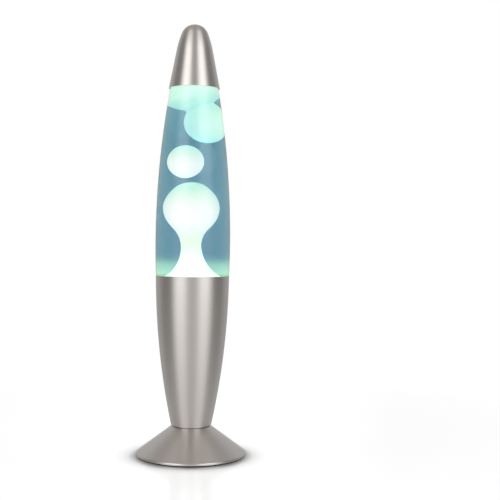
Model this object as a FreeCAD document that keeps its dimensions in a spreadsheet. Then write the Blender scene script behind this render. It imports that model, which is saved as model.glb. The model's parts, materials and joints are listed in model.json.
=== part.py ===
"""Table lava lamp: a spun aluminium foot and holder, a reflector bulb in a screw lampholder, a sealed
glass bottle of liquid and wax, and a spun aluminium nose cap.

Millimetres, +Z up. The origin is the middle of the lamp's footprint on the surface that it stands on,
and the lamp's axis is the Z axis. -Y is the front, and the cord inlet is at the back.
"""

import FreeCAD, Part
import math
import os

import Sketcher

# Driving dimensions in millimetres, but for foot_slope, the rise over the run, and the counts. Heights are
# above the surface that the lamp stands on unless the name says otherwise.
SIZES = {
    # rubber feet
    "pad_radius": 4.5,
    "pad_thickness": 2.0,
    "pad_circle_radius": 36.0,
    # foot: a spun cone
    "foot_radius": 51.0,
    "foot_clearance": 0.8,
    "foot_rim_height": 2.4,
    "foot_height": 27.0,
    "foot_top_radius": 18.3,
    "foot_wall": 1.0,
    "foot_slope": 0.755,
    "foot_upright_wall": 1.25,
    "foot_corner_inset": 0.35,
    "foot_edge_round": 0.9,
    # base plate, pressed into the foot's rim
    "plate_thickness": 1.6,
    "plate_skirt_height": 0.7,
    "plate_step": 1.6,
    "plate_top_radius": 46.0,
    "vent_width": 2.4,
    "vent_inner_radius": 15.0,
    "vent_outer_radius": 27.0,
    "vent_count": 12.0,
    # cord inlet: a bush through the back of the foot
    "inlet_height": 9.4,
    "inlet_radius": 4.4,
    "inlet_bore_radius": 3.2,
    "inlet_collar_radius": 5.6,
    "inlet_collar_length": 2.4,
    "inlet_inner_end": 29.8,
    "inlet_outer_end": 49.0,
    "inlet_edge_round": 0.5,
    # holder tube, which takes the bottle
    "tube_rim_height": 166.7,
    "tube_rim_radius": 34.1,
    "tube_foot_radius": 18.6,
    "tube_side_curve": 680.0,
    "tube_wall": 1.0,
    "tube_corner_inset": 0.8,
    "tube_foot_round": 1.7,
    "tube_rim_round": 0.3,
    # hollow threaded nipple, nut and toothed washer, which clamp foot, tube and lampholder together
    "nipple_radius": 5.0,
    "nipple_bore_radius": 3.5,
    "nipple_clear_radius": 5.3,
    "nipple_low_end": 18.5,
    "nut_corner_radius": 8.1,
    "nut_thickness": 3.0,
    "washer_radius": 7.6,
    "washer_thickness": 0.8,
    "washer_notch": 0.55,
    "washer_notch_count": 14.0,
    # lampholder, small screw size
    "holder_radius": 13.5,
    "holder_joint_height": 51.0,
    "holder_rim_height": 79.0,
    "holder_mouth_radius": 9.4,
    "holder_mouth_lip": 1.5,
    "holder_floor": 4.0,
    "holder_cavity_radius": 10.5,
    "holder_edge": 1.0,
    "holder_thread_start": 57.0,
    "core_height": 9.0,
    "shell_radius": 7.1,
    "shell_wall": 0.35,
    "shell_thread_start": 58.0,
    "shell_top": 77.0,
    "thread_pitch": 2.82,
    "thread_curve": 2.43,
    "tongue_width": 4.0,
    "tongue_thickness": 0.5,
    "tongue_back": 6.0,
    "tongue_bend": 3.2,
    "tongue_tip": 3.5,
    "tongue_gap": 0.2,
    "grub_radius": 1.25,
    "grub_length": 5.0,
    "grub_socket_radius": 0.65,
    "terminal_radius": 1.4,
    "terminal_head_radius": 2.4,
    "terminal_head_height": 1.8,
    "terminal_offset": 6.2,
    "terminal_length": 6.0,
    "terminal_slot": 0.6,
    # reflector bulb
    "bulb_tip_height": 55.2,
    "bulb_tip_radius": 2.3,
    "bulb_tip_thickness": 1.2,
    "bulb_insulator_radius": 2.9,
    "bulb_insulator_end": 62.9,
    "bulb_screw_radius": 6.5,
    "bulb_screw_wall": 0.3,
    "bulb_screw_start": 60.0,
    "bulb_screw_end": 77.6,
    "bulb_collar_radius": 8.6,
    "bulb_collar_start": 79.6,
    "bulb_collar_end": 82.5,
    "bulb_neck_end": 85.0,
    "bulb_radius": 19.5,
    "bulb_widest_height": 109.0,
    "bulb_bowl_curve": 34.0,
    "bulb_front_radius": 17.6,
    "bulb_front_height": 115.5,
    "bulb_edge_curve": 9.0,
    "bulb_top_height": 121.0,
    "bulb_glass_wall": 0.8,
    "stem_height": 80.5,
    "stem_radius": 2.6,
    "stem_flare_end": 84.4,
    "stem_end": 95.0,
    "lead_radius": 0.35,
    "lead_spread": 3.5,
    "lead_foot": 1.2,
    "filament_radius": 0.45,
    "filament_height": 103.0,
    # bottle
    "bottle_glass": 2.2,
    "bottle_low_end": 137.0,
    "bottle_punt_radius": 17.0,
    "bottle_punt_depth": 2.5,
    "bottle_base_radius": 22.0,
    "bottle_base_curve": 8.5,
    "spigot_radius": 32.4,
    "spigot_inner_end": 163.7,
    "spigot_inner_taper": 0.1,
    "bottle_seat_radius": 34.2,
    "bottle_side_curve": 830.0,
    "bottle_inner_seat": 169.7,
    "bottle_shoulder_radius": 21.9,
    "bottle_shoulder_height": 344.0,
    "bottle_inner_shoulder_height": 343.6,
    "bottle_shoulder_curve": 9.0,
    "bottle_collar_radius": 15.78,
    "bottle_collar_height": 351.0,
    "bottle_collar_curve": 5.0,
    "bottle_neck_radius": 12.3,
    "bottle_neck_height": 355.8,
    "bottle_lip_radius": 13.2,
    "bottle_lip_start": 362.5,
    "bottle_lip_end": 368.0,
    "bottle_top_height": 370.0,
    "bottle_bore_radius": 8.6,
    "bottle_mouth_round": 1.0,
    "bottle_inner_collar_radius": 12.04,
    "bottle_inner_collar_height": 349.15,
    "bottle_inner_neck_height": 352.1,
    "bottle_inner_neck_curve": 3.0,
    # crown closure
    "crown_sheet": 0.4,
    "crown_liner": 0.9,
    "crown_top_radius": 11.6,
    "crown_corner_curve": 2.2,
    "crown_skirt_radius": 14.4,
    "crown_skirt_end": 365.7,
    "crown_notch_radius": 0.8,
    "crown_notch_height": 1.6,
    "crown_notch_count": 21.0,
    # coil of wire on the bottle's floor
    "coil_radius": 20.6,
    "coil_wire_radius": 0.7,
    "coil_pitch": 2.3,
    "coil_turns": 3.0,
    "coil_room": 0.8,
    # filling
    "fill_gap": 0.15,
    "fill_start": 162.2,
    "fill_end": 358.0,
    # wax column, which rises from the pool on the bottle's floor
    "pool_edge_height": 161.7,
    "pool_curve": 34.0,
    "flare_radius": 17.8,
    "flare_height": 168.7,
    "flare_curve": 28.0,
    "waist_low_radius": 8.65,
    "waist_low_height": 183.5,
    "waist_curve": 25.4,
    "waist_high_radius": 10.75,
    "waist_high_height": 206.8,
    "head_low_curve": 44.0,
    "head_radius": 20.1,
    "head_height": 230.7,
    "head_top": 253.0,
    # free wax blob
    "blob_offset": 5.3,
    "blob_radius": 13.1,
    "blob_half_height": 15.7,
    "blob_height": 272.4,
    "blob_travel_up": 4.5,
    "blob_travel_down": 3.0,
    "blob_room": 0.8,
    # wax gathered at the top, and the blob that is joining it
    "gather_offset": 4.0,
    "gather_radius": 27.0,
    "gather_half_height": 27.0,
    "gather_height": 347.0,
    "joining_offset": 9.3,
    "joining_forward": 2.5,
    "joining_radius": 16.2,
    "joining_half_height": 18.6,
    "joining_height": 308.0,
    # nose cap
    "cap_rim_height": 340.3,
    "cap_rim_radius": 23.75,
    "cap_wall": 0.6,
    "cap_cone_radius": 16.8,
    "cap_cone_height": 376.0,
    "cap_taper_curve": 89.5,
    "cap_nose_radius": 12.35,
    "cap_nose_height": 391.4,
    "lamp_height": 400.0,
}

SHEET = "Sizes"
FULL_TURN = 360.0
LEFT, RIGHT = "left", "right"

doc = FreeCAD.newDocument("LavaLamp")
kept = []


class Size:
    """A length with its number and the expression on the sheet's cells that gives it."""

    def __init__(self, value, text):
        self.value = value
        self.text = text

    def _join(self, other, sign, value, swapped=False):
        """The two operands' expression, with the number that it comes to."""
        theirs = other.text if isinstance(other, Size) else repr(float(other))
        first, second = (theirs, self.text) if swapped else (self.text, theirs)
        return Size(value, "(" + first + " " + sign + " " + second + ")")

    def __add__(self, other):
        return self._join(other, "+", self.value + number(other))

    def __radd__(self, other):
        return self._join(other, "+", number(other) + self.value, swapped=True)

    def __sub__(self, other):
        return self._join(other, "-", self.value - number(other))

    def __rsub__(self, other):
        return self._join(other, "-", number(other) - self.value, swapped=True)

    def __mul__(self, other):
        return self._join(other, "*", self.value * number(other))

    def __rmul__(self, other):
        return self._join(other, "*", number(other) * self.value, swapped=True)

    def __truediv__(self, other):
        return self._join(other, "/", self.value / number(other))


def number(size):
    """The plain number of a Size or of a number."""
    return size.value if isinstance(size, Size) else float(size)


class Sizes:
    """The driving dimensions by name, each bound to its cell."""

    def __init__(self, values):
        sheet = doc.addObject("Spreadsheet::Sheet", SHEET)
        for row, (alias, value) in enumerate(values.items(), start=1):
            sheet.set("A" + str(row), alias)
            sheet.set("B" + str(row), repr(value))
            sheet.setAlias("B" + str(row), alias)
            setattr(self, alias, Size(value, SHEET + "." + alias))
        doc.recompute()


S = Sizes(SIZES)


# Drawing


def bind(item, prop, size):
    """Ties a property to the sheet, or sets it if size is a plain number."""
    if isinstance(size, Size):
        item.setExpression(prop, size.text)
    else:
        setattr(item, prop, size)


def place(item, x=0.0, y=0.0, z=0.0, axis=(0, 0, 1), angle=0.0):
    """Gives an object its place, with its offsets bound to the sheet."""
    turn = FreeCAD.Rotation(FreeCAD.Vector(*axis), angle)
    at = FreeCAD.Vector(number(x), number(y), number(z))
    item.Placement = FreeCAD.Placement(at, turn)
    for name, size in (("x", x), ("y", y), ("z", z)):
        if isinstance(size, Size):
            item.setExpression("Placement.Base." + name, size.text)
    return item


def keep(item):
    """Marks an object as a sub-part of the lamp."""
    kept.append(item)
    return item


def new_body(label):
    body = doc.addObject("PartDesign::Body", label)
    body.Label = label
    return body


def new_sketch(body, name, role="XZ_Plane"):
    """A sketch on one of the body's own origin planes."""
    sketch = body.newObject("Sketcher::SketchObject", name)
    plane = next(f for f in body.Origin.OriginFeatures if f.Role == role)
    sketch.AttachmentSupport = [(plane, "")]
    sketch.MapMode = "FlatFace"
    doc.recompute()
    return sketch


def fix(sketch, name, kind, *what):
    """Adds a dimension to a sketch and ties it to the sheet. The last item is its size."""
    size = what[-1]
    index = sketch.addConstraint(Sketcher.Constraint(kind, *what[:-1], number(size)))
    sketch.renameConstraint(index, name)
    if isinstance(size, Size):
        sketch.setExpression("Constraints." + name, size.text)


def arc_between(start, end, side, radius=None):
    """The short arc from start to end, with its centre on that side of the way. With no radius, its
    centre is on the lamp's axis."""
    run, rise = end[0] - start[0], end[1] - start[1]
    if radius is None:
        height = (math.hypot(*end) ** 2 - math.hypot(*start) ** 2) / (2 * rise)
        centre = (0.0, height)
        radius = math.hypot(start[0], start[1] - height)
    else:
        chord = math.hypot(run, rise)
        reach = math.sqrt(radius**2 - (chord / 2) ** 2)
        way = reach / chord if side == LEFT else -reach / chord
        centre = ((start[0] + end[0]) / 2 - rise * way, (start[1] + end[1]) / 2 + run * way)
    first, last = (start, end) if side == LEFT else (end, start)
    angles = [math.atan2(p[1] - centre[1], p[0] - centre[0]) for p in (first, last)]
    circle = Part.Circle(FreeCAD.Vector(*centre, 0), FreeCAD.Vector(0, 0, 1), radius)
    return Part.ArcOfCircle(circle, *angles)


def draw(sketch, outline):
    """Draws a closed outline. Each item is a corner (x, y), reached by a straight edge from the one
    before it, or (x, y, side, radius), reached by an arc whose centre is on that side of the way, or
    (x, y, side), reached by an arc whose centre is on the lamp's axis too.
    """
    corners = [(number(item[0]), number(item[1])) for item in outline]
    ends = []
    for index, item in enumerate(outline):
        start, end = corners[index - 1], corners[index]
        if len(item) == 2:
            edge = Part.LineSegment(FreeCAD.Vector(*start, 0), FreeCAD.Vector(*end, 0))
        else:
            edge = arc_between(start, end, item[2], *[number(radius) for radius in item[3:]])
        geometry = sketch.addGeometry(edge)
        # an arc runs anticlockwise, so one with its centre on the right is stored end first
        ends.append((geometry, 2, 1) if RIGHT in item else (geometry, 1, 2))
    for index, item in enumerate(outline):
        edge, _, last = ends[index]
        following, first, _ = ends[(index + 1) % len(ends)]
        sketch.addConstraint(Sketcher.Constraint("Coincident", edge, last, following, first))
        for name, kind, axis, size in (("x", "DistanceX", -2, item[0]), ("y", "DistanceY", -1, item[1])):
            if number(size) == 0:
                sketch.addConstraint(Sketcher.Constraint("PointOnObject", edge, last, axis))
            else:
                fix(sketch, name + str(index), kind, -1, 1, edge, last, size)
        if len(item) == 3:
            sketch.addConstraint(Sketcher.Constraint("PointOnObject", edge, 3, -2))
        if len(item) == 4:
            fix(sketch, "radius" + str(index), "Radius", edge, item[3])


def draw_circle(sketch, name, x, y, radius):
    """Draws a circle, bound to the sheet."""
    centre = FreeCAD.Vector(number(x), number(y), 0)
    circle = sketch.addGeometry(Part.Circle(centre, FreeCAD.Vector(0, 0, 1), number(radius)))
    fix(sketch, name + "_radius", "Radius", circle, radius)
    for letter, kind, axis, size in (("x", "DistanceX", -2, x), ("y", "DistanceY", -1, y)):
        if number(size) == 0:
            sketch.addConstraint(Sketcher.Constraint("PointOnObject", circle, 3, axis))
        else:
            fix(sketch, name + "_" + letter, kind, -1, 1, circle, 3, size)


def turn(label, outline):
    """A body turned about the lamp's axis from half of its section."""
    body = new_body(label)
    sketch = new_sketch(body, label + "_section")
    draw(sketch, outline)
    turned = body.newObject("PartDesign::Revolution", label + "_turned")
    turned.Profile = sketch
    turned.ReferenceAxis = (sketch, ["V_Axis"])
    turned.Angle = FULL_TURN
    doc.recompute()
    return body


def round_rings(body, rings, radius):
    """Rounds the body's circular edges that have these radii and heights."""
    base = body.Tip
    names = []
    for index, edge in enumerate(base.Shape.Edges, start=1):
        curve = edge.Curve
        if isinstance(curve, Part.Circle) and math.hypot(curve.Center.x, curve.Center.y) < 1e-6:
            for ring_radius, height in rings:
                near = abs(curve.Radius - number(ring_radius)) + abs(curve.Center.z - number(height))
                if near < 1e-4:
                    names.append("Edge" + str(index))
    rounding = body.newObject("PartDesign::Fillet", body.Label + "_round")
    rounding.Base = (base, names)
    bind(rounding, "Radius", radius)
    doc.recompute()


def cut(body, name, sketch, length, reverse=False):
    """Cuts a sketch's outline out of a body, and makes sure that something was cut."""
    before = body.Shape.Volume
    pocket = body.newObject("PartDesign::Pocket", name)
    pocket.Profile = sketch
    pocket.Reversed = reverse
    bind(pocket, "Length", length)
    doc.recompute()
    if body.Shape.Volume > before - 1e-3:
        raise ValueError(name + " cuts nothing")
    return pocket


def repeat_round(body, feature, sketch, count):
    """Repeats a feature evenly about the body's upright axis."""
    pattern = body.newObject("PartDesign::PolarPattern", body.Label + "_pattern")
    pattern.Originals = [feature]
    pattern.Axis = (sketch, ["N_Axis"])
    pattern.Angle = FULL_TURN
    bind(pattern, "Occurrences", count)
    body.Tip = pattern
    doc.recompute()


def cylinder(label, radius, height):
    """An upright round bar, from its own foot."""
    item = doc.addObject("Part::Cylinder", label)
    bind(item, "Radius", radius)
    bind(item, "Height", height)
    return item


def ellipsoid(label, radius, half_height):
    """A round blob, flattened or drawn out along its upright axis."""
    item = doc.addObject("Part::Ellipsoid", label)
    bind(item, "Radius1", half_height)
    bind(item, "Radius2", radius)
    bind(item, "Radius3", radius)
    return item


def combine(kind, label, *items):
    """One object made from others with a boolean, such as Part::Cut."""
    item = doc.addObject(kind, label)
    if kind in ("Part::MultiFuse", "Part::MultiCommon"):
        item.Shapes = list(items)
    else:
        item.Base, item.Tool = items
    doc.recompute()
    return item


def pipe(label, radius, bore, low, height):
    """An upright pipe, as a sub-part."""
    outer = place(cylinder(label + "_outer", radius, height), z=low)
    inner = place(cylinder(label + "_bore", bore, height), z=low)
    return keep(combine("Part::Cut", label, outer, inner))


def reverse_path(path):
    """The same corners and arcs, followed the other way. The first corner of the result has no arc."""
    swapped = {LEFT: RIGHT, RIGHT: LEFT}
    turned = [path[-1][:2]]
    for index in range(len(path) - 1, 0, -1):
        arc = path[index][2:]
        step = (swapped[arc[0]], arc[1]) if arc else ()
        turned.append(path[index - 1][:2] + step)
    return turned


def thread_up(radius, low, count):
    """Corners of a rolled thread's section, upwards from low."""
    return [(radius, low + S.thread_pitch * (step + 1), LEFT, S.thread_curve) for step in range(count)]


def thread_down(radius, low, count):
    """Corners of a rolled thread's section, downwards to low."""
    return [(radius, low + S.thread_pitch * step, RIGHT, S.thread_curve) for step in reversed(range(count))]


# Foot and base


def make_foot():
    """Spun cone with a flat top, a hole for the nipple, a short upright rim and a hole for the cord bush."""
    inner_radius = S.foot_radius - S.foot_wall
    inner_rim = S.foot_rim_height - S.foot_upright_wall + S.foot_slope * S.foot_wall
    body = turn(
        "foot",
        [
            (S.nipple_clear_radius, S.foot_height - S.foot_wall),
            (S.foot_top_radius - S.foot_corner_inset, S.foot_height - S.foot_wall),
            (inner_radius, inner_rim),
            (inner_radius, S.foot_clearance),
            (S.foot_radius, S.foot_clearance),
            (S.foot_radius, S.foot_rim_height),
            (S.foot_top_radius, S.foot_height),
            (S.nipple_clear_radius, S.foot_height),
        ],
    )
    edges = [(S.foot_radius, S.foot_rim_height), (S.foot_top_radius, S.foot_height)]
    round_rings(body, edges, S.foot_edge_round)
    sketch = new_sketch(body, "foot_inlet")
    draw_circle(sketch, "inlet", 0.0, S.inlet_height, S.inlet_radius)
    cut(body, "foot_inlet_hole", sketch, S.foot_radius)
    keep(body)


def make_base_plate():
    """Moulded disc pressed into the foot's rim from below, with radial vents."""
    rim = S.foot_radius - S.foot_wall
    step = rim - S.plate_step
    top = S.pad_thickness + S.plate_thickness
    body = turn(
        "base_plate",
        [
            (0.0, S.pad_thickness),
            (step, S.pad_thickness),
            (step, S.foot_clearance),
            (rim, S.foot_clearance),
            (rim, S.foot_clearance + S.plate_skirt_height),
            (S.plate_top_radius, top),
            (0.0, top),
        ],
    )
    half = S.vent_width / 2
    end_curve = half * 1.05
    sketch = new_sketch(body, "vent_outline", "XY_Plane")
    draw(
        sketch,
        [
            (half, S.vent_outer_radius),
            (0.0 - half, S.vent_outer_radius, LEFT, end_curve),
            (0.0 - half, S.vent_inner_radius),
            (half, S.vent_inner_radius, LEFT, end_curve),
        ],
    )
    vent = cut(body, "vent", sketch, S.foot_height, reverse=True)
    repeat_round(body, vent, sketch, S.vent_count)
    keep(body)


def make_rubber_feet():
    """Four round pads under the base plate."""
    places = {"front": (0, -1), "right": (1, 0), "back": (0, 1), "left": (-1, 0)}
    for name, (x, y) in places.items():
        pad = cylinder("rubber_foot_" + name, S.pad_radius, S.pad_thickness)
        keep(place(pad, x=S.pad_circle_radius * x, y=S.pad_circle_radius * y))


def make_cord_bush():
    """Bush for the cord, through the back of the foot, with a collar inside it."""
    length = S.inlet_outer_end - S.inlet_inner_end
    body = turn(
        "cord_bush",
        [
            (S.inlet_bore_radius, 0.0),
            (S.inlet_collar_radius, 0.0),
            (S.inlet_collar_radius, S.inlet_collar_length),
            (S.inlet_radius, S.inlet_collar_length),
            (S.inlet_radius, length),
            (S.inlet_bore_radius, length),
        ],
    )
    round_rings(body, [(S.inlet_radius, length)], S.inlet_edge_round)
    keep(place(body, y=S.inlet_inner_end, z=S.inlet_height, axis=(1, 0, 0), angle=-90.0))


# Holder tube and the hardware that clamps it


def make_holder_tube():
    """Spun tube with a slight barrel, wide at the top, with a flat floor."""
    inner_foot = S.tube_foot_radius - S.tube_corner_inset
    body = turn(
        "holder_tube",
        [
            (S.nipple_clear_radius, S.foot_height),
            (S.tube_foot_radius, S.foot_height),
            (S.tube_rim_radius, S.tube_rim_height, LEFT, S.tube_side_curve),
            (S.tube_rim_radius - S.tube_wall, S.tube_rim_height),
            (inner_foot, S.foot_height + S.tube_wall, RIGHT, S.tube_side_curve - S.tube_wall),
            (S.nipple_clear_radius, S.foot_height + S.tube_wall),
        ],
    )
    round_rings(body, [(S.tube_foot_radius, S.foot_height)], S.tube_foot_round)
    rim = [(S.tube_rim_radius, S.tube_rim_height), (S.tube_rim_radius - S.tube_wall, S.tube_rim_height)]
    round_rings(body, rim, S.tube_rim_round)
    keep(body)


def make_nipple():
    """Hollow threaded rod that the cord comes up through."""
    high_end = S.foot_height + S.tube_wall + S.holder_floor
    pipe(
        "threaded_nipple",
        S.nipple_radius,
        S.nipple_bore_radius,
        S.nipple_low_end,
        high_end - S.nipple_low_end,
    )


def make_nut():
    """Hexagon nut under the foot's top."""
    low = S.foot_height - S.foot_wall - S.washer_thickness - S.nut_thickness
    blank = doc.addObject("Part::Prism", "nut_blank")
    blank.Polygon = 6
    bind(blank, "Circumradius", S.nut_corner_radius)
    bind(blank, "Height", S.nut_thickness)
    place(blank, z=low)
    hole = place(cylinder("nut_hole", S.nipple_radius, S.nut_thickness), z=low)
    keep(combine("Part::Cut", "nipple_nut", blank, hole))


def make_lock_washer():
    """Toothed washer between the nut and the foot."""
    low = S.foot_height - S.foot_wall - S.washer_thickness
    high = S.foot_height - S.foot_wall
    radii = (S.nipple_clear_radius, S.washer_radius)
    body = turn("lock_washer", [(radii[0], low), (radii[1], low), (radii[1], high), (radii[0], high)])
    sketch = new_sketch(body, "washer_notch", "XY_Plane")
    draw_circle(sketch, "notch", 0.0, S.washer_radius, S.washer_notch)
    notch = cut(body, "notch", sketch, S.foot_height, reverse=True)
    repeat_round(body, notch, sketch, S.washer_notch_count)
    keep(body)


# Lampholder


def make_lampholder_base():
    """Moulded cup that screws onto the nipple, with a side hole for the grub screw."""
    low = S.foot_height + S.tube_wall
    body = turn(
        "lampholder_base",
        [
            (S.nipple_radius, low),
            (S.holder_radius - S.holder_edge, low),
            (S.holder_radius, low + S.holder_edge),
            (S.holder_radius, S.holder_joint_height),
            (S.holder_cavity_radius, S.holder_joint_height),
            (S.holder_cavity_radius, low + S.holder_floor),
            (S.nipple_radius, low + S.holder_floor),
        ],
    )
    sketch = new_sketch(body, "grub_hole", "YZ_Plane")
    draw_circle(sketch, "grub", 0.0, low + S.holder_floor / 2, S.grub_radius)
    cut(body, "grub_hole_cut", sketch, S.holder_radius, reverse=True)
    keep(body)


def make_grub_screw():
    """Socket grub screw that locks the lampholder on the nipple."""
    height = S.foot_height + S.tube_wall + S.holder_floor / 2
    blank = cylinder("grub_blank", S.grub_radius, S.grub_length)
    place(blank, x=S.nipple_radius, z=height, axis=(0, 1, 0), angle=90.0)
    socket = doc.addObject("Part::Prism", "grub_socket")
    socket.Polygon = 6
    bind(socket, "Circumradius", S.grub_socket_radius)
    bind(socket, "Height", S.grub_length)
    place(socket, x=S.nipple_radius + S.grub_length / 2, z=height, axis=(0, 1, 0), angle=90.0)
    keep(combine("Part::Cut", "grub_screw", blank, socket))


def make_lampholder_core():
    """Insulating block that carries the contacts, with two screw holes from below."""
    low = S.holder_joint_height - S.core_height
    blank = place(cylinder("core_blank", S.holder_cavity_radius, S.core_height), z=low)
    holes = []
    for side, sign in (("left", -1), ("right", 1)):
        hole = cylinder("terminal_hole_" + side, S.terminal_radius, S.terminal_length)
        holes.append(place(hole, x=S.terminal_offset * sign, z=low))
    cuts = combine("Part::MultiFuse", "core_holes", *holes)
    keep(combine("Part::Cut", "lampholder_core", blank, cuts))


def make_terminal_screws():
    """Two slotted screws in the underside of the core."""
    low = S.holder_joint_height - S.core_height
    head_low = low - S.terminal_head_height
    pieces = []
    slots = []
    for side, sign in (("left", -1), ("right", 1)):
        head = cylinder("terminal_head_" + side, S.terminal_head_radius, S.terminal_head_height)
        shank = cylinder("terminal_shank_" + side, S.terminal_radius, S.terminal_length)
        slot = doc.addObject("Part::Box", "terminal_slot_" + side)
        bind(slot, "Length", S.terminal_slot)
        bind(slot, "Width", S.terminal_head_radius * 2)
        bind(slot, "Height", S.terminal_slot)
        offset = S.terminal_offset * sign
        pieces.append(place(head, x=offset, z=head_low))
        pieces.append(place(shank, x=offset, z=low))
        slot_start = offset - S.terminal_slot / 2
        slots.append(place(slot, x=slot_start, y=0.0 - S.terminal_head_radius, z=head_low))
    screws = combine("Part::MultiFuse", "terminal_blanks", *pieces)
    cuts = combine("Part::MultiFuse", "terminal_slots", *slots)
    keep(combine("Part::Cut", "terminal_screws", screws, cuts))


def make_lampholder_sleeve():
    """Moulded sleeve round the screw shell, threaded outside, with a narrower mouth."""
    root = S.holder_radius - S.holder_edge / 2
    start = S.holder_thread_start
    thread_count = 5
    keep(
        turn(
            "lampholder_sleeve",
            [
                (S.holder_radius, S.holder_joint_height),
                (S.holder_radius, start),
                (root, start),
                *thread_up(root, start, thread_count),
                (root, S.holder_rim_height - S.holder_edge * 3),
                (root - S.holder_edge, S.holder_rim_height),
                (S.holder_mouth_radius, S.holder_rim_height),
                (S.holder_mouth_radius, S.holder_rim_height - S.holder_mouth_lip),
                (S.holder_cavity_radius, S.holder_rim_height - S.holder_mouth_lip),
                (S.holder_cavity_radius, S.holder_joint_height),
            ],
        )
    )


def make_lampholder_thread():
    """Rolled metal screw shell, on the core."""
    outer = S.shell_radius + S.shell_wall
    thread_count = 6
    keep(
        turn(
            "lampholder_thread",
            [
                (outer, S.holder_joint_height),
                (outer, S.shell_thread_start),
                *thread_up(outer, S.shell_thread_start, thread_count),
                (outer, S.shell_top),
                (S.shell_radius, S.shell_top),
                (S.shell_radius, S.shell_thread_start + S.thread_pitch * thread_count),
                *thread_down(S.shell_radius, S.shell_thread_start, thread_count),
                (S.shell_radius, S.holder_joint_height),
            ],
        )
    )


def make_lampholder_contact():
    """Springy strip on the core that bears on the bulb's tip."""
    low = S.holder_joint_height
    high = S.bulb_tip_height - S.tongue_gap
    body = new_body("lampholder_contact")
    sketch = new_sketch(body, "tongue_section")
    draw(
        sketch,
        [
            (0.0 - S.tongue_back, low),
            (0.0 - S.tongue_bend + S.tongue_thickness / 2, low),
            (S.tongue_thickness * 2, high - S.tongue_thickness),
            (S.tongue_tip, high - S.tongue_thickness),
            (S.tongue_tip, high),
            (S.tongue_thickness * 1.5, high),
            (0.0 - S.tongue_bend, low + S.tongue_thickness),
            (0.0 - S.tongue_back, low + S.tongue_thickness),
        ],
    )
    strip = body.newObject("PartDesign::Pad", "tongue")
    strip.Profile = sketch
    strip.Midplane = True
    bind(strip, "Length", S.tongue_width)
    doc.recompute()
    keep(body)


# Bulb


def make_bulb_tip():
    """Solder contact under the bulb."""
    low = S.bulb_tip_height
    high = low + S.bulb_tip_thickness
    edge = S.bulb_tip_thickness / 2
    keep(
        turn(
            "bulb_tip",
            [
                (0.0, low),
                (S.bulb_tip_radius - edge, low),
                (S.bulb_tip_radius, low + edge),
                (S.bulb_tip_radius, high),
                (0.0, high),
            ],
        )
    )


def make_bulb_insulator():
    """Black glass plug in the low end of the bulb's screw cap."""
    low = S.bulb_tip_height + S.bulb_tip_thickness
    radius = S.bulb_screw_radius - S.bulb_screw_wall
    keep(
        turn(
            "bulb_insulator",
            [
                (0.0, low),
                (S.bulb_insulator_radius, low),
                (radius, S.bulb_screw_start),
                (radius, S.bulb_insulator_end),
                (0.0, S.bulb_insulator_end),
            ],
        )
    )


def make_bulb_screw_cap():
    """Rolled metal cap of the bulb, with a wider collar for the glass."""
    outer = S.bulb_screw_radius
    inner = outer - S.bulb_screw_wall
    collar = S.bulb_collar_radius
    start = S.bulb_screw_start
    thread_count = 5
    keep(
        turn(
            "bulb_screw_cap",
            [
                (outer, start),
                *thread_up(outer, start, thread_count),
                (outer, S.bulb_screw_end),
                (collar, S.bulb_collar_start),
                (collar, S.bulb_collar_end),
                (collar - S.bulb_screw_wall, S.bulb_collar_end),
                (collar - S.bulb_screw_wall, S.bulb_collar_start + S.bulb_screw_wall / 2),
                (inner, S.bulb_screw_end + S.bulb_screw_wall / 2),
                (inner, start + S.thread_pitch * thread_count),
                *thread_down(inner, start, thread_count),
            ],
        )
    )


def make_bulb_glass():
    """Blown reflector envelope: a neck, a bowl and a domed front."""
    neck = S.bulb_collar_radius - S.bulb_screw_wall
    wall = S.bulb_glass_wall
    low = S.bulb_collar_start + S.bulb_screw_wall
    keep(
        turn(
            "bulb_glass",
            [
                (neck, low),
                (neck, S.bulb_neck_end),
                (S.bulb_radius, S.bulb_widest_height, LEFT, S.bulb_bowl_curve),
                (S.bulb_front_radius, S.bulb_front_height, LEFT, S.bulb_edge_curve),
                (0.0, S.bulb_top_height, LEFT),
                (0.0, S.bulb_top_height - wall),
                (S.bulb_front_radius - wall, S.bulb_front_height - wall / 2, RIGHT),
                (S.bulb_radius - wall, S.bulb_widest_height, RIGHT, S.bulb_edge_curve - wall),
                (neck - wall, S.bulb_neck_end, RIGHT, S.bulb_bowl_curve - wall),
                (neck - wall, low),
            ],
        )
    )


def make_bulb_stem():
    """Glass flare that closes the neck and carries the lead wires."""
    rim = S.bulb_collar_radius - S.bulb_screw_wall - S.bulb_glass_wall
    keep(
        turn(
            "bulb_stem",
            [
                (0.0, S.stem_height),
                (rim, S.stem_height),
                (rim, S.stem_height + S.bulb_glass_wall),
                (S.stem_radius, S.stem_flare_end),
                (S.stem_radius, S.stem_end),
                (0.0, S.stem_end),
            ],
        )
    )


def make_bulb_wires():
    """Two lead wires that stand on the stem, and the filament across their tops."""
    rise = S.filament_height.value - S.stem_end.value
    spread = S.lead_spread.value - S.lead_foot.value
    lean = math.degrees(math.atan2(spread, rise))
    leads = []
    for side, sign in (("left", -1), ("right", 1)):
        lead = cylinder("lead_" + side, S.lead_radius, math.hypot(rise, spread))
        foot = S.lead_foot * sign
        leads.append(place(lead, x=foot, z=S.stem_end, axis=(0, 1, 0), angle=lean * sign))
    keep(combine("Part::MultiFuse", "bulb_lead_wires", *leads))
    filament = cylinder("bulb_filament", S.filament_radius, S.lead_spread * 2)
    height = S.filament_height + S.filament_radius
    keep(place(filament, x=0.0 - S.lead_spread, z=height, axis=(0, 1, 0), angle=90.0))


# Bottle and its closure


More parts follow.
